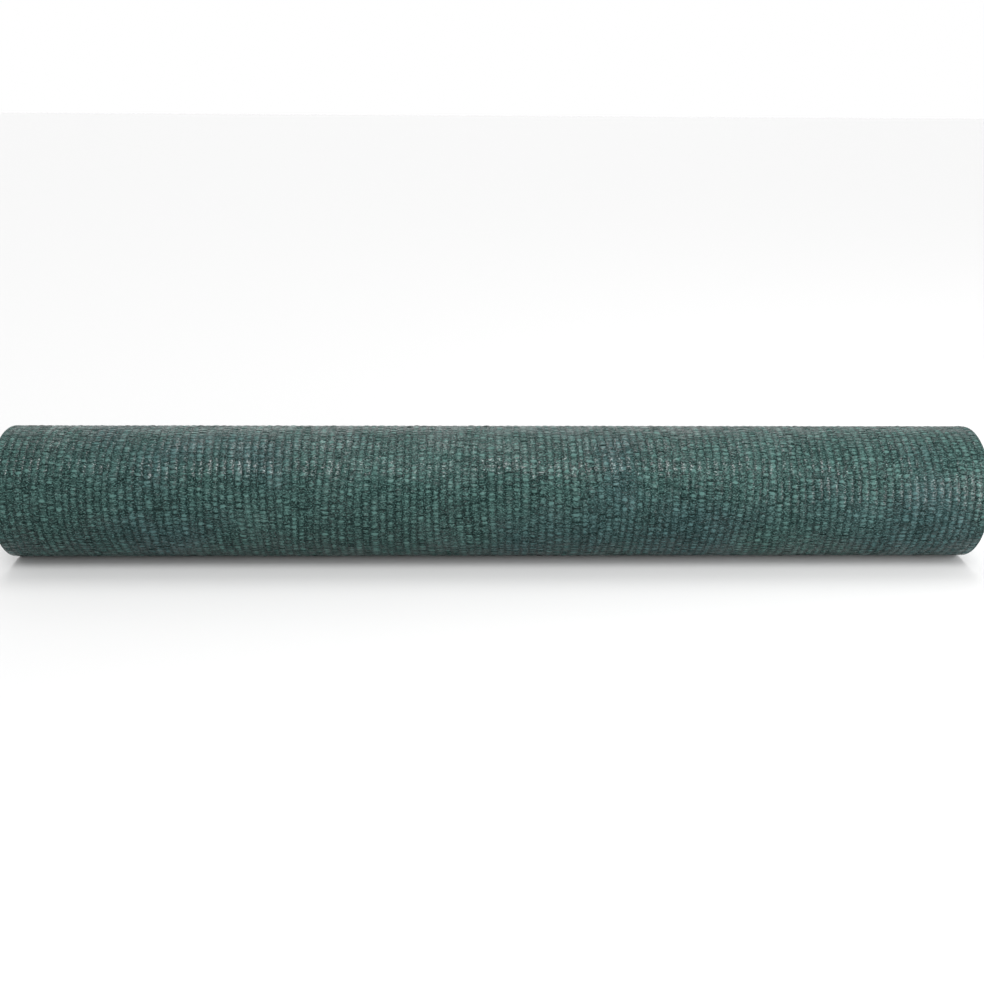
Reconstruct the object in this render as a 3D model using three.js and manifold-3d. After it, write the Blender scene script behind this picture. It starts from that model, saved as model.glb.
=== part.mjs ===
// A roll of knitted privacy netting, lying on its side on a flat surface.
// Millimetres, X along the roll, +Z up. The origin is on that surface, under the middle of the roll.
import * as THREE from "three";
import { mergeVertices } from "three/addons/utils/BufferGeometryUtils.js";
import Module from "manifold-3d";

// The netting, as it is cut, and how tightly it is wound
const nettingWidth = 1000;
const nettingLength = 10000;
const turnPitch = 1.52; // one turn of netting with the air that it traps
const rollRadius = 70; // at the free edge, where the last turn ends
const freeEdgeAngle = THREE.MathUtils.degToRad(-30); // from +Y towards +Z: low on the back
const restingWidth = 30; // how much of the roll lies flat
const outlineSteps = 96;

// The main turns that stand apart at the ends, each of several fine turns
const fineTurnsInMainTurn = 5;
const groove = { width: 2.4, depth: 3, chord: 5.5 };

// The eye at each end. There is no core: the first turns close up further in.
const eye = { flattening: 0.72, lean: THREE.MathUtils.degToRad(25), depth: 30, steps: 28 };

const fullTurn = 2 * Math.PI;
const clearOfFace = 1; // how far a cutter starts outside the end that it cuts
const samePoint = 1e-4; // corners nearer than this are one corner
const netting = new THREE.MeshStandardMaterial({
  name: "netting",
  color: 0x4b625f,
  roughness: 0.62,
  metalness: 0,
});

// The length of a spiral is its area divided by its pitch, which leaves this much for the eye
const eyeRadius = Math.sqrt(rollRadius ** 2 - (nettingLength * turnPitch) / Math.PI);

// How much of the last turn, as a share, lies between the free edge and an angle
function shareOfTurn(angle) {
  return THREE.MathUtils.euclideanModulo(angle - freeEdgeAngle, fullTurn) / fullTurn;
}

// The roll's section: a spiral that gains one turn's pitch, then steps down at the free edge
function sectionShape() {
  const lowRadius = rollRadius - turnPitch * shareOfTurn(-Math.PI / 2);
  const restingHeight = -Math.sqrt(lowRadius ** 2 - (restingWidth / 2) ** 2);
  const points = [];
  for (let step = 0; step <= outlineSteps; step++) {
    const share = step / outlineSteps;
    const angle = freeEdgeAngle + share * fullTurn;
    const radius = rollRadius - turnPitch * share;
    const across = radius * Math.cos(angle);
    const up = Math.max(radius * Math.sin(angle), restingHeight);
    points.push(new THREE.Vector2(across, up));
  }
  return new THREE.Shape(points);
}

// Turns an extruded shape so that its outline lies in Y and Z and its depth runs along X
function alongRoll(geometry, start) {
  const basis = new THREE.Matrix4().makeBasis(
    new THREE.Vector3(0, 1, 0),
    new THREE.Vector3(0, 0, 1),
    new THREE.Vector3(1, 0, 0),
  );
  return geometry.applyMatrix4(basis).translate(start, 0, 0);
}

function woundBody() {
  const settings = { depth: nettingWidth, bevelEnabled: false };
  return alongRoll(new THREE.ExtrudeGeometry(sectionShape(), settings), -nettingWidth / 2);
}

// A closed oval plug that opens the eye at one end
function eyePlug(end) {
  const outline = new THREE.Shape();
  outline.absellipse(0, 0, eyeRadius, eyeRadius * eye.flattening, 0, fullTurn, false, eye.lean);
  const settings = { depth: eye.depth + clearOfFace, bevelEnabled: false, curveSegments: eye.steps };
  const face = (end * nettingWidth) / 2;
  const start = end > 0 ? face - eye.depth : face - clearOfFace;
  return alongRoll(new THREE.ExtrudeGeometry(outline, settings), start);
}

// The line between the main turns: angle and radius, from the outer end to the eye
function mainTurnLine() {
  const mainPitch = turnPitch * fineTurnsInMainTurn;
  const line = [];
  let turned = 0;
  let radius = rollRadius - mainPitch / 2;
  while (radius > eyeRadius + groove.width) {
    line.push({ angle: freeEdgeAngle + turned, radius });
    turned += groove.chord / radius;
    radius = rollRadius - mainPitch / 2 - (mainPitch * turned) / fullTurn;
  }
  return line;
}

// A closed wedge that follows the line between the main turns and cuts a groove into one end
function grooveWedge(end) {
  const slope = groove.width / 2 / groove.depth;
  const corners = [
    { out: clearOfFace, aside: slope * (groove.depth + clearOfFace) },
    { out: -groove.depth, aside: 0 },
    { out: clearOfFace, aside: -slope * (groove.depth + clearOfFace) },
  ];
  if (end > 0) {
    corners.reverse();
  }
  const line = mainTurnLine();
  const positions = line.flatMap(({ angle, radius }) =>
    corners.flatMap(({ out, aside }) => [
      end * (nettingWidth / 2 + out),
      (radius + aside) * Math.cos(angle),
      (radius + aside) * Math.sin(angle),
    ]),
  );
  const last = corners.length * (line.length - 1);
  const faces = [0, 1, 2, last + 2, last + 1, last];
  for (let ring = 0; ring < last; ring += corners.length) {
    for (let side = 0; side < corners.length; side++) {
      const here = ring + side;
      const beside = ring + ((side + 1) % corners.length);
      faces.push(here, here + corners.length, beside);
      faces.push(beside, here + corners.length, beside + corners.length);
    }
  }
  const geometry = new THREE.BufferGeometry();
  geometry.setAttribute("position", new THREE.Float32BufferAttribute(positions, 3));
  geometry.setIndex(faces);
  return geometry;
}

const wasm = await Module();
wasm.setup();

function toSolid(geometry) {
  const bare = geometry.clone();
  bare.deleteAttribute("normal");
  bare.deleteAttribute("uv");
  const merged = mergeVertices(bare, samePoint);
  return new wasm.Manifold(
    new wasm.Mesh({
      numProp: 3,
      vertProperties: merged.attributes.position.array,
      triVerts: new Uint32Array(merged.index.array),
    }),
  );
}

function toGeometry(solid) {
  const { vertProperties, triVerts } = solid.getMesh();
  const geometry = new THREE.BufferGeometry();
  geometry.setAttribute("position", new THREE.Float32BufferAttribute(vertProperties, 3));
  geometry.setIndex([...triVerts]);
  geometry.computeVertexNormals();
  return geometry;
}

function nettingRoll() {
  let solid = toSolid(woundBody());
  for (const end of [-1, 1]) {
    solid = solid.subtract(toSolid(grooveWedge(end)));
    solid = solid.subtract(toSolid(eyePlug(end)));
  }
  const mesh = new THREE.Mesh(toGeometry(solid), netting);
  mesh.name = "netting_roll";
  return mesh;
}

// Stands the roll on the surface, with the origin under its middle
function setDown(mesh) {
  const box = new THREE.Box3().setFromObject(mesh);
  const middle = box.getCenter(new THREE.Vector3());
  mesh.position.set(-middle.x, -middle.y, -box.min.z);
  return mesh;
}

const part = new THREE.Group();
part.add(setDown(nettingRoll()));

export default part;
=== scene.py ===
import math

import bpy
import numpy as np
from mathutils import Matrix, Vector


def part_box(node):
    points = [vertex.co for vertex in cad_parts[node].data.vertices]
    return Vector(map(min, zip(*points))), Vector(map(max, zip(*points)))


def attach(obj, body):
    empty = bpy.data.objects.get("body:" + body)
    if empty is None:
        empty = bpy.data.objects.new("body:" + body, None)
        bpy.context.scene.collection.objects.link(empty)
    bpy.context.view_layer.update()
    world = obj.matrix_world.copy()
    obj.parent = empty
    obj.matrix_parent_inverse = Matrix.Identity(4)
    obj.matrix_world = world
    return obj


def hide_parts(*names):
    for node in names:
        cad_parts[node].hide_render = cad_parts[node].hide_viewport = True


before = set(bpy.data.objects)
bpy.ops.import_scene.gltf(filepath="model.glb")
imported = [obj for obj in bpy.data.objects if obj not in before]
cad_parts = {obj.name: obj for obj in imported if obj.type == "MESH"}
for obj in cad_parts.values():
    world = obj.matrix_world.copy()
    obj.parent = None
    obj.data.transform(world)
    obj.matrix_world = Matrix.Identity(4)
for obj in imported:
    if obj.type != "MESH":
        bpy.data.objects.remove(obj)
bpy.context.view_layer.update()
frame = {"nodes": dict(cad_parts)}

print("frame loaded:", ", ".join(frame["nodes"]))

# How the netting is wound, in metres. The roll's radius and its place come from the frame.
roll = {
    "node": "netting_roll",
    "body": "root",
    "slot": "netting",
    "width": 1.0,
    "length": 10.0,
    "turnPitch": 0.00152,
    "freeEdgeAt": math.radians(-30),  # from +Y towards +Z, low on the back
    "flatFade": 4,  # how quickly the flat underneath dies out towards the eye
    "flatSoftness": 0.0004,
    "aboveFloor": 0.00015,
    "eyeFlattening": 0.28,
    "eyeLean": math.radians(25),
    "eyeFade": 3.0,  # how quickly the turns round out from the oval eye
}
fullTurn = 2 * math.pi
low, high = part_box(roll["node"])


# How much of the last turn, as a share, lies between the free edge and an angle
def shareOfTurn(angle):
    return ((angle - roll["freeEdgeAt"]) % fullTurn) / fullTurn


# The roll's outline: its radius at the free edge, less that share of a turn's pitch
def solidRadius(angle):
    return outerRadius - roll["turnPitch"] * shareOfTurn(angle)


# The frame's box is as deep as the outline's radii straight back and straight forward together
outerRadius = (high[1] - low[1]) / 2 + roll["turnPitch"] * (shareOfTurn(0) + shareOfTurn(math.pi)) / 2
axisY = low[1] + solidRadius(math.pi)
axisZ = high[2] - solidRadius(math.pi / 2)
flatSag = solidRadius(-math.pi / 2) - axisZ + low[2]  # how far the floor presses the roll in
eyeRadius = math.sqrt(outerRadius**2 - roll["length"] * roll["turnPitch"] / math.pi)
print(f"roll: radius {outerRadius:.4f} m, eye {eyeRadius:.4f} m, axis {axisZ:.4f} m up")


# The length of netting in the outermost turns: the way round at the free edge for each of them, less
# pi times the pitch times their number squared
def lengthOfTurns(turns):
    return turns * fullTurn * outerRadius - math.pi * roll["turnPitch"] * turns**2


# The numbers of each point side by side, from arrays that broadcast to one shape
def together(*numbers):
    return np.stack(np.broadcast_arrays(*numbers), axis=-1)


# Places netting on the roll. across and along are metres on the flat netting, along from the free edge
# backwards, and lift is how far a point stands off the middle of the netting. A spiral's length is its
# area over its pitch, so it has turned by 2 pi / pitch * (R - sqrt(R^2 - pitch * along / pi)). Towards
# the eye the turns flatten into ovals that lean over. Underneath, a point's height is the greater of its
# own and the flat's, with a soft change from one to the other.
def wind(across, along, lift):
    pitch = roll["turnPitch"]
    turned = fullTurn / pitch * (outerRadius - np.sqrt(outerRadius**2 - pitch * along / math.pi))
    radius = outerRadius - pitch * turned / fullTurn - pitch / 2 + lift
    angle = roll["freeEdgeAt"] + turned
    squeeze = 1 - roll["eyeFlattening"] * (eyeRadius / radius) ** roll["eyeFade"]
    longWay = radius * np.cos(angle - roll["eyeLean"])
    shortWay = radius * np.sin(angle - roll["eyeLean"]) * squeeze
    aside = longWay * math.cos(roll["eyeLean"]) - shortWay * math.sin(roll["eyeLean"])
    up = longWay * math.sin(roll["eyeLean"]) + shortWay * math.cos(roll["eyeLean"])
    rest = flatSag * (radius / outerRadius) ** roll["flatFade"] - radius
    over = up - rest
    up = rest + (over + np.sqrt(over**2 + roll["flatSoftness"] ** 2)) / 2
    height = np.maximum(axisZ + up, low[2] + roll["aboveFloor"])
    return together(across, axisY + aside, height)


# The quads of many equal grids that lie one after another, each of rows by columns points
def gridQuads(grids, rows, columns):
    corner = np.arange(rows - 1)[:, None] * columns + np.arange(columns - 1)
    quad = np.stack([corner, corner + 1, corner + columns + 1, corner + columns], axis=-1).reshape(-1, 4)
    starts = np.arange(grids)[:, None, None] * rows * columns
    return (starts + quad).reshape(-1, 4)


bakeFill = 0.8  # how much of its cell on the baking map a strip fills


# A strip's place on the baking map, one way: its share of the way through its own cell, over all cells
def cellPlace(cell, share, cells):
    return (cell + 0.5 + bakeFill * (share - 0.5)) / cells


# One piece out of one or more shapes, each with its points, its quads, and maps and values of its points
def makePiece(name, shapes, finish):
    points = np.concatenate([shape["points"].reshape(-1, 3) for shape in shapes])
    starts = np.cumsum([0] + [shape["points"].size // 3 for shape in shapes])
    quads = np.concatenate([shape["quads"] + start for shape, start in zip(shapes, starts)])
    mesh = bpy.data.meshes.new(name)
    mesh.vertices.add(len(points))
    mesh.vertices.foreach_set("co", points.astype(np.float32).ravel())
    mesh.loops.add(quads.size)
    mesh.loops.foreach_set("vertex_index", quads.astype(np.int32).ravel())
    mesh.polygons.add(len(quads))
    mesh.polygons.foreach_set("loop_start", np.arange(0, quads.size, 4, dtype=np.int32))
    mesh.update(calc_edges=True)
    for mapName in shapes[0]["maps"]:
        spots = np.concatenate([shape["maps"][mapName].reshape(-1, 2) for shape in shapes])
        layer = mesh.uv_layers.new(name=mapName)
        layer.uv.foreach_set("vector", spots[quads.ravel()].astype(np.float32).ravel())
    for valueName in shapes[0]["values"]:
        numbers = np.concatenate([shape["values"][valueName].ravel() for shape in shapes])
        layer = mesh.attributes.new(valueName, "FLOAT", "POINT")
        layer.data.foreach_set("value", numbers.astype(np.float32))
    mesh.shade_smooth()
    mesh.materials.append(finish)
    piece = bpy.data.objects.new(name, mesh)
    bpy.context.scene.collection.objects.link(piece)
    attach(piece, roll["body"])
    return piece


# A shader socket that can stand in an expression. Each operator adds one Math node.
class Wire:
    def __init__(self, finish, socket):
        self.finish = finish
        self.socket = socket

    def maths(self, operation, first, second):
        return self.finish.node("ShaderNodeMath", {"operation": operation}, {0: first, 1: second})

    def __add__(self, other):
        return self.maths("ADD", self, other)

    def __radd__(self, other):
        return self.maths("ADD", other, self)

    def __sub__(self, other):
        return self.maths("SUBTRACT", self, other)

    def __rsub__(self, other):
        return self.maths("SUBTRACT", other, self)

    def __mul__(self, other):
        return self.maths("MULTIPLY", self, other)

    def __rmul__(self, other):
        return self.maths("MULTIPLY", other, self)

    def __pow__(self, other):
        return self.maths("POWER", self, other)


# A material under construction. What is the same all over it is set on the shader at the start.
class Finish:
    def __init__(self, name, fixed):
        self.material = bpy.data.materials.new(name)
        self.material.use_nodes = True
        self.tree = self.material.node_tree
        self.shader = self.tree.nodes["Principled BSDF"]
        for key, value in fixed.items():
            self.shader.inputs[key].default_value = value

    def node(self, kind, settings, inputs, output=0):
        made = self.tree.nodes.new(kind)
        for key, value in settings.items():
            setattr(made, key, value)
        for key, value in inputs.items():
            self.feed(made.inputs[key], value)
        return Wire(self, made.outputs[output])

    def feed(self, socket, value):
        if isinstance(value, Wire):
            self.tree.links.new(value.socket, socket)
        else:
            socket.default_value = value

    def surface(self, varying):
        for key, value in varying.items():
            self.feed(self.shader.inputs[key], value)
        return self.material

    def attribute(self, name):
        return self.node("ShaderNodeAttribute", {"attribute_name": name}, {}, output="Fac")

    def noise(self, places, scale, detail):
        return self.node("ShaderNodeTexNoise", {}, {"Vector": places, "Scale": scale, "Detail": detail})

    # Goes from 0 where the value is start to top where it is full, and stays there beyond
    def ramp(self, value, start, full, top=1.0, curve="LINEAR"):
        inputs = {"Value": value, "From Min": start, "From Max": full, "To Max": top}
        return self.node("ShaderNodeMapRange", {"interpolation_type": curve}, inputs)

    def mixColour(self, factor, first, second):
        inputs = {0: factor, 6: first, 7: second}  # a Mix node has one pair of sockets for each kind
        return self.node("ShaderNodeMix", {"data_type": "RGBA"}, inputs, output=2)


# The plastic tape: dark green that goes bluer in patches, streaked and creased along its length. A
# pattern on the tape is so many to the metre along it and so many across it.
tapeLook = {
    "dark": (0.0024, 0.0112, 0.0105, 1),
    "light": (0.062, 0.130, 0.117, 1),
    "blue": (0.040, 0.082, 0.097, 1),
    "shine": 0.10,
    "sheen": 0.04,
    "sheenTint": (0.62, 1.0, 0.94, 1),
    "sheenRoughness": 0.4,
    "roughness": 0.30,
    "roughnessSpread": 0.25,
    "patches": {"perMetre": 7.0, "detail": 2.0},
    "patchFrom": 0.5,
    "patchFull": 0.68,
    "patchStrength": 0.5,
    "streaks": {"perMetre": (500.0, 740.0, 1.0), "detail": 2.0},
    # Above it the streaks are pale, partly the tape's own streaks and partly painted glints; below it they
    # are painted shade in hollows
    "streakFrom": 0.44,  # above it the streaks are pale, and below it they are dark hollows
    "streakFull": 0.78,
    "streakCurve": 1.8,
    "streakAndGlintStrength": 2.1,
    # The dark side of the streaks: painted shade in the tape's hollows and creases
    "hollowShadeFull": 0.22,
    "hollowShadeStrength": 0.22,
    # The crest: a painted highlight along the middle of each tape, where its fold would catch the light
    "crestHighlightSharpness": 3.0,
    # Painted shade at each tape's edges, where it meets the next tape
    "edgeShade": 0.10,  # how much darker a tape is at its very edges
    "edgeSharpness": 2.0,
    "endSharpness": 2.0,
    "glints": {"perMetre": (520.0, 800.0, 1.0), "detail": 0.0},
    "glintsFrom": 0.57,
    "glintsFull": 0.70,
    "glintStrength": 0.80,
    "glintRoughness": 0.12,
    "clusters": {"perMetre": 28.0, "detail": 1.0},  # where the glints gather
    "clustering": 0.35,
    "creases": {"perMetre": (260.0, 500.0, 1.0), "detail": 1.0},
    "creaseHeight": 0.0003,
}
noiseMiddle = 0.5  # the value that a noise lies about


def tapeFinish():
    look = tapeLook
    fixed = {
        "Specular IOR Level": look["shine"],
        "Sheen Weight": look["sheen"],
        "Sheen Tint": look["sheenTint"],
        "Sheen Roughness": look["sheenRoughness"],
        "Coat Roughness": look["glintRoughness"],
    }
    finish = Finish("knitted tape", fixed)
    place = finish.node("ShaderNodeTexCoord", {}, {}, output="Object")
    strand = finish.node("ShaderNodeUVMap", {"uv_map": "strand"}, {})
    leaf = finish.node("ShaderNodeUVMap", {"uv_map": "leaf"}, {})
    way = finish.node("ShaderNodeSeparateXYZ", {}, {"Vector": leaf}, output="X")
    side = finish.node("ShaderNodeSeparateXYZ", {}, {"Vector": leaf}, output="Y")

    def overRoll(pattern):
        return finish.noise(place, pattern["perMetre"], pattern["detail"])

    def onTape(pattern):
        scaled = finish.node("ShaderNodeMapping", {}, {"Vector": strand, "Scale": pattern["perMetre"]})
        return finish.noise(scaled, 1.0, pattern["detail"])

    # How pale the tape is: a painted highlight on its crest, pale streaks that are partly its own and partly
    # painted glints, and painted shade at its edges, at its ends by the chains and in hollows
    streaks = onTape(look["streaks"])
    paleStreakAndGlint = finish.ramp(streaks, look["streakFrom"], look["streakFull"])
    hollowShade = finish.ramp(streaks, look["streakFrom"], look["hollowShadeFull"])
    fromMiddle = 2.0 * way - 1.0
    midway = (1.0 - fromMiddle * fromMiddle) ** look["crestHighlightSharpness"]
    atEdges = (side * side) ** look["edgeSharpness"]
    atEnds = (fromMiddle * fromMiddle) ** look["endSharpness"]
    shade = finish.attribute("tone") + finish.attribute("crestHighlight") * (1.0 - side * side) * midway
    shade = shade - look["edgeShade"] * atEdges - finish.attribute("groove") * atEnds
    shade = shade + look["streakAndGlintStrength"] * paleStreakAndGlint ** look["streakCurve"] - look["hollowShadeStrength"] * hollowShade
    shade = finish.node("ShaderNodeClamp", {}, {"Value": shade})

    patches = overRoll(look["patches"])
    patch = finish.ramp(patches, look["patchFrom"], look["patchFull"], look["patchStrength"], "SMOOTHSTEP")
    plain = finish.mixColour(shade, look["dark"], look["light"])
    tinted = finish.mixColour(shade, look["dark"], look["blue"])
    gathered = onTape(look["glints"]) + look["clustering"] * (overRoll(look["clusters"]) - noiseMiddle)
    height = finish.attribute("relief") + look["creaseHeight"] * onTape(look["creases"])
    varying = {
        "Base Color": finish.mixColour(patch, plain, tinted),
        "Roughness": look["roughness"] + look["roughnessSpread"] * (streaks - noiseMiddle),
        "Coat Weight": finish.ramp(gathered, look["glintsFrom"], look["glintsFull"], look["glintStrength"]),
        "Normal": finish.node("ShaderNodeBump", {}, {"Strength": 1.0, "Distance": 1.0, "Height": height}),
    }
    return finish.surface(varying)


# The knit of the outer turn, in metres on the flat netting
knit = {
    "gaps": 125,
    "course": 0.0052,
    "underLap": 0.004,  # how far the knit runs on under the free edge
    "edgeHold": 6,  # the higher, the closer to the selvedges the chains wander
}
wales = knit["gaps"] + 1
courses = int((lengthOfTurns(1) + knit["underLap"]) / knit["course"])
waleWaves = [
    {"size": 0.0021, "across": 0.37, "along": 0.29, "phase": 0.4},
    {"size": 0.0014, "across": 0.19, "along": -0.46, "phase": 2.1},
    {"size": 0.0009, "across": 0.11, "along": 0.17, "phase": 4.4},
]
courseWaves = [
    {"size": 0.0016, "across": 0.43, "along": 0.60, "phase": 1.3},
    {"size": 0.0008, "across": 0.16, "along": -0.35, "phase": 3.0},
]


# A slow unevenness: sines that run aslant over the netting, each with its lengths across and along
def slowWaves(waves, across, along):
    return sum(
        wave["size"] * np.sin(fullTurn * (across / wave["across"] + along / wave["along"]) + wave["phase"])
        for wave in waves
    )


# Where a point of the even knit lies on the real netting: slow waves move it across and along. The move
# across dies out at the selvedges, which stay straight.
def settle(across, along):
    inside = 1 - (2 * across / roll["width"]) ** knit["edgeHold"]
    return (
        across + inside * slowWaves(waleWaves, across, along),
        along + slowWaves(courseWaves, across, along),
    )


# No two chains run quite alike: each stands off its even place and sways to and fro
chainSway = {"seed": 17, "offset": 0.00030, "size": 0.00035, "shortest": 0.08, "longest": 0.30}


# Each chain's own run, at random. The first and the last chain have no offset and no sway.
def chainRuns():
    random = np.random.default_rng(chainSway["seed"])
    inner = np.ones(wales)
    inner[[0, -1]] = 0
    return {
        "offset": random.normal(0, chainSway["offset"], wales) * inner,
        "size": random.normal(0, chainSway["size"], wales) * inner,
        "length": random.uniform(chainSway["shortest"], chainSway["longest"], wales),
        "phase": random.uniform(0, fullTurn, wales),
    }


runs = chainRuns()


# How far across a chain lies at a length along it: its even place, its offset and its sine
def chainAt(wale, along):
    sway = runs["size"][wale] * np.sin(fullTurn * along / runs["length"][wale] + runs["phase"][wale])
    return -roll["width"] / 2 + wale * roll["width"] / knit["gaps"] + runs["offset"][wale] + sway


# The tapes that cross from one chain to the next lie in three layers, each with one tape to a course. In a
# layer they slope one way and the other by turns, and the lower two layers slope against the top one. The
# lower layers are painted a little darker, as painted shade under the top one, with smaller painted crest
# highlights. A spread is how much one tape differs from the next.
tapes = {
    "seed": 7,
    "pieces": 3,
    "tuck": 0.07,  # how far a tape runs on under the chain at each end, as a share of its length
    "climb": 0.11,  # of a course, from one chain to the next
    "climbSpread": 0.11,
    "placeSpread": 0.11,  # of a course
    "bandShift": 0.30,  # of a course, one band of tapes against the next
    "widthSpread": 0.16,
    "widthCurve": 0.5,  # the lower, the blunter a tape's ends
    "crown": 0.00032,
    "endLift": -0.00020,
    "liftCurve": 0.6,
    "liftSpread": 0.00005,
    "twist": math.radians(4.5),
    "tilt": math.tan(math.radians(11)),  # in the shading alone, as is the fold
    "slowTilt": math.tan(math.radians(10)),
    "fold": 0.00030,
    # Painted shade at each tape's ends, where they dip into the groove beside the chain
    "groove": 0.32,  # how much darker a tape is at its ends
    "grooveSpread": 0.10,
    "toneSpread": 0.05,
    "bandTone": 0.05,  # one band of tapes against the next
    # How much the painted crest highlights differ from tape to tape
    "crestHighlightShape": 1.2,  # the lower, the more the crests differ
    "patternLength": 50,  # each tape takes its own place in this much patterned tape
}
tapeLayers = [
    {"shift": 0.25, "slope": 1, "lift": 0.0, "half": 0.00195, "end": 0.00140,
     "tone": 0.13, "crestHighlight": 0.40, "stations": 7, "lines": 3},
    {"shift": 0.75, "slope": -1, "lift": -0.00016, "half": 0.00160, "end": 0.00120,
     "tone": 0.12, "crestHighlight": 0.17, "stations": 6, "lines": 3},
    {"shift": 0.5, "slope": -1, "lift": -0.00050, "half": 0.00130, "end": 0.00110,
     "tone": 0.10, "crestHighlight": 0.08, "stations": 5, "lines": 2},
]
# How the painted groove shade varies slowly over the netting
grooveWaves = [
    {"size": 0.5, "across": 0.310, "along": 0.120, "phase": 2.2},
    {"size": 0.4, "across": 0.090, "along": -0.075, "phase": 0.3},
]
tiltWaves = [
    {"size": 0.7, "across": 0.061, "along": 0.083, "phase": 0.9},
    {"size": 0.6, "across": 0.140, "along": -0.052, "phase": 5.2},
    {"size": 0.5, "across": -0.037, "along": 0.190, "phase": 2.7},
]


# One layer of tapes over a stretch of gaps. A tape's middle line slopes evenly from chain to chain, and
# its edges lie half its width to either side of it, turned by its twist. Its half width and its lift
# follow powers of the sine of the way across, so it is a leaf with a crown. Its relief, for the shading,
# is a slope from edge to edge plus a fold that is highest in the middle.
def tapeLayer(number, layer, firstGap, lastGap, shifts, random):
    gaps = lastGap - firstGap
    course = np.arange(courses)[:, None, None, None]
    gap = np.arange(gaps)[None, :, None, None]
    way = np.linspace(-tapes["tuck"], 1 + tapes["tuck"], layer["stations"])[None, None, :, None]
    side = np.linspace(-1, 1, layer["lines"])[None, None, None, :]
    arch = np.sin(math.pi * np.clip(way, 0, 1))

    def uneven(spread):
        return random.normal(0, spread, (courses, gaps, 1, 1))

    slope = layer["slope"] * (1 - 2 * (course % 2)) * tapes["climb"] + uneven(tapes["climbSpread"])
    bandShift = shifts[firstGap:lastGap][None, :, None, None]
    middle = (course + layer["shift"] + bandShift + uneven(tapes["placeSpread"])) * knit["course"]
    along = middle + slope * (way - 0.5) * knit["course"]
    across = chainAt(firstGap + gap, along) * (1 - way) + chainAt(firstGap + gap + 1, along) * way
    widening = (layer["half"] - layer["end"]) * (1 + uneven(tapes["widthSpread"]))
    half = layer["end"] + widening * arch ** tapes["widthCurve"]
    twist = uneven(tapes["twist"])
    tilt = uneven(tapes["tilt"]) + tapes["slowTilt"] * slowWaves(tiltWaves, across, along)
    relief = (side * half * tilt + uneven(tapes["fold"]) * (1 - side**2)) * arch
    lift = tapes["endLift"] + (tapes["crown"] - tapes["endLift"]) * arch ** tapes["liftCurve"]
    lift = lift + layer["lift"] + uneven(tapes["liftSpread"]) + side * half * np.sin(twist * arch)
    along = along + side * half * np.cos(twist * arch)
    across, along = settle(across, along)

    def everywhere(number):
        return np.broadcast_to(number, along.shape)

    # Painted shade at the tape's ends by the chains, varying slowly over the netting and from tape to tape
    groove = tapes["groove"] * (1 + slowWaves(grooveWaves, across, along)) + uneven(tapes["grooveSpread"])
    band = random.normal(0, tapes["bandTone"], (1, gaps, 1, 1))
    tone = layer["tone"] + band + uneven(tapes["toneSpread"])
    # A painted highlight on the tape's crest, its size drawn at random for each tape
    crestHighlightShape = tapes["crestHighlightShape"]
    crestHighlight = layer["crestHighlight"] * random.gamma(crestHighlightShape, 1 / crestHighlightShape, (courses, gaps, 1, 1))
    start = random.uniform(0, tapes["patternLength"], (courses, gaps, 1, 1))
    strand = together(way * (roll["width"] / knit["gaps"]) + start, side * half + start)
    leaf = together(everywhere(way), side)
    cell = gap * len(tapeLayers) + number
    tileY = cellPlace(cell, (side + 1) / 2, gaps * len(tapeLayers))
    return {
        "points": wind(across, along, lift),
        "quads": gridQuads(courses * gaps, layer["stations"], layer["lines"]),
        "maps": {"strand": strand, "leaf": leaf, "OFBake": together(cellPlace(course, way, courses), tileY)},
        "values": {"tone": everywhere(tone), "crestHighlight": everywhere(crestHighlight), "groove": groove, "relief": relief},
    }


def makeTapes(finish):
    random = np.random.default_rng(tapes["seed"])
    shifts = random.normal(0, tapes["bandShift"], knit["gaps"])
    edges = np.linspace(0, knit["gaps"], tapes["pieces"] + 1).round().astype(int)
    made = []
    for piece, (firstGap, lastGap) in enumerate(zip(edges[:-1], edges[1:]), start=1):
        layers = [
            tapeLayer(number, layer, firstGap, lastGap, shifts, random)
            for number, layer in enumerate(tapeLayers)
        ]
        made.append(makePiece(f"outer_tapes_{piece}", layers, finish))
    return made


# The chain of stitches in each groove: two flat strands that go round each other once a course
chains = {
    "seed": 8,
    "stationsPerCourse": 4,
    "halfWidth": 0.00042,
    "swing": 0.00045,
    "rise": 0.00022,
    "phase": 0.6,
    "lift": -0.00012,
    "looseEnd": 0.0025,
    # The chains are painted darker than the tapes: painted shade in the groove where they lie
    "tone": 0.06,
    "toneSpread": 0.06,
    "patternStep": 0.01,  # how far apart in the tape's pattern two chains lie
}


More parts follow.
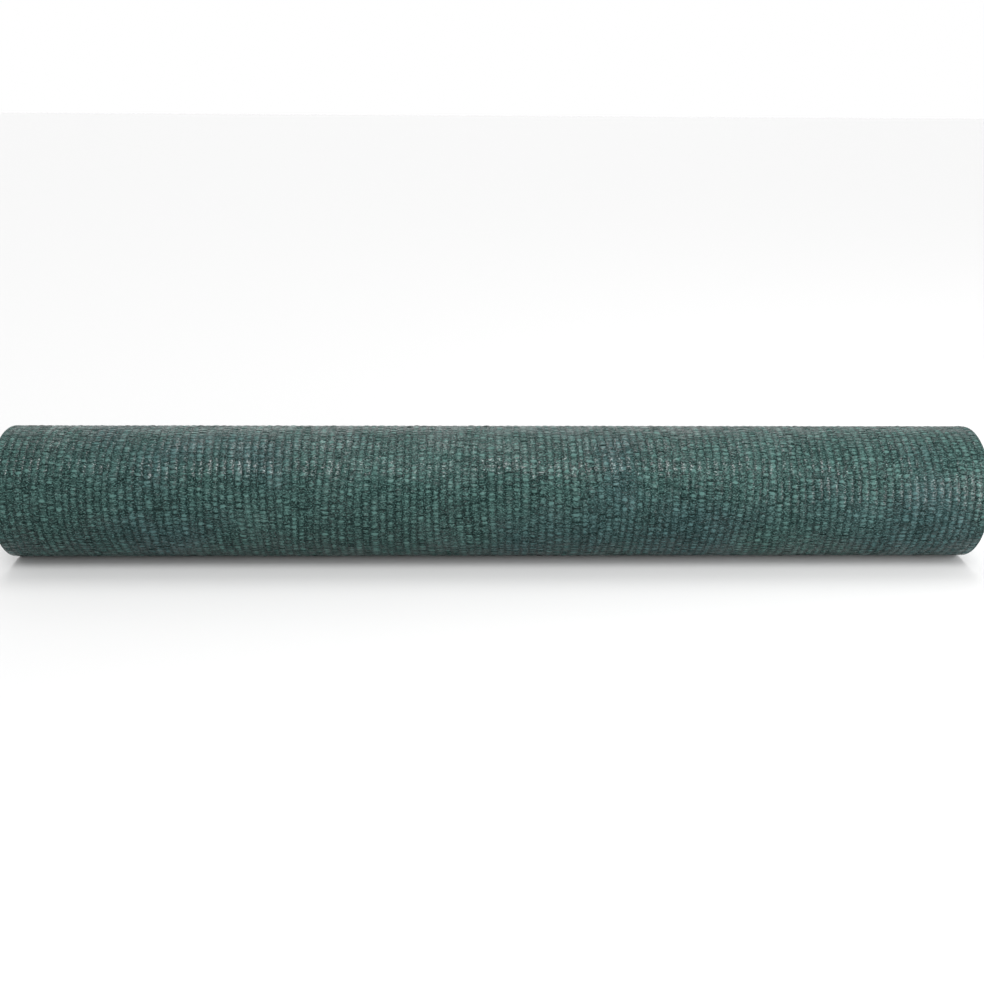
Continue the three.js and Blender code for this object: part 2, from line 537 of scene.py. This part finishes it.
# A strand is a flat ribbon. It swings across its chain with the sine of its turn and rises with the
# cosine, and the other strand does the opposite. Its loose end lies a little past the free edge.
def makeChains(finish):
    random = np.random.default_rng(chains["seed"])
    count = courses * chains["stationsPerCourse"] + 1
    wale = np.arange(wales)[:, None, None, None]
    strand = np.array([-1.0, 1.0])[None, :, None, None]
    station = np.arange(count)[None, None, :, None]
    side = np.array([-1.0, 1.0])[None, None, None, :]
    looseEnd = random.uniform(-chains["looseEnd"], 0, (wales, 2, 1, 1))
    along = np.where(station == 0, looseEnd, station * knit["course"] / chains["stationsPerCourse"])
    turn = fullTurn * station / chains["stationsPerCourse"] + chains["phase"]
    across = chainAt(wale, along) + strand * chains["swing"] * np.sin(turn) + side * chains["halfWidth"]
    lift = chains["lift"] + strand * chains["rise"] * np.cos(turn)
    across, along = settle(across, along)
    tone = chains["tone"] + random.normal(0, chains["toneSpread"], (wales, 2, count, 1))
    strandMap = together(along, side * chains["halfWidth"] + wale * chains["patternStep"])
    # A strand takes the tapes' painted edge shade at its edges, but no painted shade of a tape's ends
    leaf = together(np.full(along.shape, 0.5), side)  # a strand has a leaf's edges but not its ends
    tileY = cellPlace(2 * wale + (strand + 1) / 2, (side + 1) / 2, 2 * wales)
    shape = {
        "points": wind(across, along, lift),
        "quads": gridQuads(wales * 2, count, 2)[:, ::-1],
        "maps": {"strand": strandMap, "leaf": leaf, "OFBake": together(station / (count - 1), tileY)},
        "values": {"tone": np.broadcast_to(tone, along.shape)},
    }
    return makePiece("outer_chains", [shape], finish)


# The wound netting itself: one closed sheet from the free edge to the eye. Its edges wander a little.
sheet = {
    "thickness": 0.0007,
    "lift": -0.00095,  # it stays under the tapes and chains that are modelled one by one
    "inset": 0.0012,  # the selvedge cord covers the sheet's own edge
    "outerTurns": 2,
    "outerSteps": 96,
    "innerSteps": 44,
    "columns": (-1.0, -0.985, -0.5, 0.0, 0.5, 0.985, 1.0),
    "edgeFrom": 0.9,  # the columns past it wander with the edge
    "edgeWander": 0.0009,
    "leastWander": 0.15,  # as a share, on the outer turn
    "wanderTurns": 3,  # after which the edge wanders in full
}
edgeWaves = [
    {"size": 0.5, "across": 3.1, "along": 1.63, "phase": 0.0},
    {"size": 0.4, "across": 0.9, "along": 0.71, "phase": 2.0},
    {"size": 0.35, "across": 0.7, "along": 0.29, "phase": 4.0},
]
# The wound netting's colour is painted shade: darker than the tapes, it stands for the inner turns in shadow
# where they show between the tapes
woundShadeLook = {"Base Color": (0.008, 0.022, 0.020, 1), "Roughness": 0.75, "Specular IOR Level": 0.1}


# Lengths along the netting that are a fixed angle apart, closer together on the outer turns
def turnStations():
    turns = (outerRadius - eyeRadius) / roll["turnPitch"]
    outer = np.arange(0, sheet["outerTurns"], 1 / sheet["outerSteps"])
    inner = np.arange(sheet["outerTurns"], turns, 1 / sheet["innerSteps"])
    return lengthOfTurns(np.concatenate([outer, inner, [turns]]))


# How far the netting's edge stands out: slow sines along it, little on the outer turn and more further
# in. The end is 1 on the right, -1 on the left and 0 where nothing moves.
def edgeOffset(end, along):
    grown = np.clip(along / lengthOfTurns(sheet["wanderTurns"]), sheet["leastWander"], 1)
    return end * sheet["edgeWander"] * grown * slowWaves(edgeWaves, end, along)


# Two equal grids, half the thickness above and below the sheet's middle, and walls all round them
def makeSheet():
    along = turnStations()[:, None]
    share = np.array(sheet["columns"])
    end = np.sign(share) * (np.abs(share) > sheet["edgeFrom"])
    across = share * (roll["width"] / 2 - sheet["inset"]) + edgeOffset(end, along)
    outer = wind(across, along, sheet["lift"] + sheet["thickness"] / 2)
    inner = wind(across, along, sheet["lift"] - sheet["thickness"] / 2)
    top = gridQuads(1, *across.shape)
    below = top[:, ::-1] + across.size
    grid = np.arange(across.size).reshape(across.shape)
    rims = [grid[::-1, 0], grid[:, -1], grid[0, :], grid[-1, ::-1]]
    walls = [
        np.stack([rim[:-1] + across.size, rim[1:] + across.size, rim[1:], rim[:-1]], axis=-1)
        for rim in rims
    ]
    quads = np.concatenate([top, below, *walls])
    shape = {"points": np.stack([outer, inner]), "quads": quads, "maps": {}, "values": {}}
    piece = makePiece("wound_netting", [shape], Finish("wound netting", woundShadeLook).material)
    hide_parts(roll["node"])
    return piece


# The selvedge along each side of the netting: a twisted four-sided cord over all the turns
selvedge = {
    "sides": 4,
    "stationsPerCourse": 3,
    "radius": 0.00062,
    "lumps": 0.18,
    "twistPerCourse": math.pi / 2,
    "lift": -0.0003,
    "shortOfEye": 0.001,
    "tone": 0.5,
    "toneSpread": 0.12,
    "rows": 24,  # the baking map lays the cord out in this many rows
}
selvedgeSides = [
    {"name": "selvedge_left", "end": -1, "seed": 9},
    {"name": "selvedge_right", "end": 1, "seed": 11},
]


# A small square carried along the netting's edge. It turns evenly as it goes, and its radius swells once
# a course with the cosine.
def makeSelvedge(name, end, seed, finish):
    random = np.random.default_rng(seed)
    rowLength = int(roll["length"] / knit["course"] * selvedge["stationsPerCourse"] / selvedge["rows"])
    count = rowLength * selvedge["rows"] + 1
    row = np.arange(selvedge["rows"])[:, None, None]
    inRow = np.arange(rowLength + 1)[None, :, None]
    number = row * rowLength + inRow
    corner = np.arange(selvedge["sides"] + 1)[None, None, :]
    along = number * (roll["length"] - selvedge["shortOfEye"]) / (count - 1)
    station = number / selvedge["stationsPerCourse"]
    turn = corner * fullTurn / selvedge["sides"] + station * selvedge["twistPerCourse"]
    size = selvedge["radius"] * (1 + selvedge["lumps"] * np.cos(fullTurn * station))
    across = end * (roll["width"] / 2 - selvedge["radius"]) + edgeOffset(end, along) + size * np.cos(turn)
    tone = selvedge["tone"] + random.normal(0, selvedge["toneSpread"], count)[number]
    tileY = cellPlace(row, corner / selvedge["sides"], selvedge["rows"])
    shape = {
        "points": wind(across, along, selvedge["lift"] + size * np.sin(turn)),
        "quads": gridQuads(selvedge["rows"], rowLength + 1, selvedge["sides"] + 1),
        "maps": {
            "strand": together(along, corner * selvedge["radius"]),
            "OFBake": together(inRow / rowLength, tileY),
        },
        "values": {"tone": np.broadcast_to(tone, across.shape)},
    }
    return makePiece(name, [shape], finish)


tapePlastic = tapeFinish()
outerTapes = makeTapes(tapePlastic)
print("outer tapes made")
outerChains = makeChains(tapePlastic)
print("outer chains made")
selvedges = [makeSelvedge(one["name"], one["end"], one["seed"], tapePlastic) for one in selvedgeSides]
print("selvedges made")
woundNetting = makeSheet()
print("wound netting made")


# The pale floor, a square under the roll
floorSize = 30.0
floorLook = {"Base Color": (0.56, 0.56, 0.56, 1), "Roughness": 0.9}


def makeFloor():
    half = floorSize / 2
    mesh = bpy.data.meshes.new("floor")
    corners = [(-half, -half, low[2]), (half, -half, low[2]), (half, half, low[2]), (-half, half, low[2])]
    mesh.from_pydata(corners, [], [(0, 1, 2, 3)])
    mesh.materials.append(Finish("pale floor", floorLook).material)
    floor = bpy.data.objects.new("floor", mesh)
    bpy.context.scene.collection.objects.link(floor)


makeFloor()
print("floor made")

# Soft studio light: wide lamps high in front, overhead and behind, a panel low in front on the right,
# and an even sky that lights the roll less than it shows
lamps = [
    {"name": "key", "strength": 1.66, "spread": 26, "from": (0.0, -0.46, 0.89)},
    {"name": "top", "strength": 0.94, "spread": 30, "from": (0.0, 0.26, 0.97)},
    {"name": "back", "strength": 0.45, "spread": 50, "from": (0.0, 0.87, 0.50)},
]
panel = {"power": 48.0, "width": 1.5, "at": (1.7, -1.15, 0.55), "towards": (0.42, 0.0, 0.05)}
sky = {"colour": (1, 1, 1, 1), "light": 0.80, "seen": 1.0}


# Puts a light in its place, shining from a direction
def placeLight(light, place, direction):
    holder = bpy.data.objects.new(light.name, light)
    holder.location = place
    holder.rotation_mode = "QUATERNION"
    holder.rotation_quaternion = Vector(direction).to_track_quat("Z", "Y")
    bpy.context.scene.collection.objects.link(holder)


def makeLights():
    for lamp in lamps:
        sun = bpy.data.lights.new(lamp["name"], "SUN")
        sun.energy = lamp["strength"]
        sun.angle = math.radians(lamp["spread"])
        placeLight(sun, (0, 0, 0), lamp["from"])
    glow = bpy.data.lights.new("panel", "AREA")
    glow.energy = panel["power"]
    glow.size = panel["width"]
    placeLight(glow, panel["at"], Vector(panel["at"]) - Vector(panel["towards"]))


def makeSky():
    world = bpy.data.worlds.new("studio")
    bpy.context.scene.world = world
    world.use_nodes = True
    tree = world.node_tree
    background = tree.nodes["Background"]
    background.inputs["Color"].default_value = sky["colour"]
    path = tree.nodes.new("ShaderNodeLightPath")
    pick = tree.nodes.new("ShaderNodeMix")
    pick.inputs["A"].default_value = sky["light"]
    pick.inputs["B"].default_value = sky["seen"]
    tree.links.new(path.outputs["Is Camera Ray"], pick.inputs["Factor"])
    tree.links.new(pick.outputs["Result"], background.inputs["Strength"])


makeLights()
makeSky()
bpy.context.scene.view_settings.view_transform = "Standard"
print("lights made")

# The camera looks at the roll's axis from a little above, and stands slightly to the left. It is turned
# and tilted by about a degree, about its own upright and level axes, so that the roll stays level.
camera = {
    "lens": 40.5,
    "sensor": 36.0,
    "elevation": math.radians(20),
    "beside": -0.02345,
    "above": 0.00868,
    "away": 1.174,
    "turn": math.radians(1.104),
    "tilt": math.radians(-0.476),
}


def makeCamera():
    data = bpy.data.cameras.new("camera")
    data.lens = camera["lens"]
    data.sensor_width = camera["sensor"]
    holder = bpy.data.objects.new("camera", data)
    atAxis = Matrix.Translation((0, axisY, axisZ))
    raised = Matrix.Rotation(math.pi / 2 - camera["elevation"], 4, "X")
    place = Matrix.Translation((camera["beside"], camera["above"], camera["away"]))
    turn = Matrix.Rotation(-camera["turn"], 4, "Y") @ Matrix.Rotation(camera["tilt"], 4, "X")
    holder.matrix_world = atAxis @ raised @ place @ turn
    bpy.context.scene.collection.objects.link(holder)
    bpy.context.scene.camera = holder


makeCamera()
print("camera made")
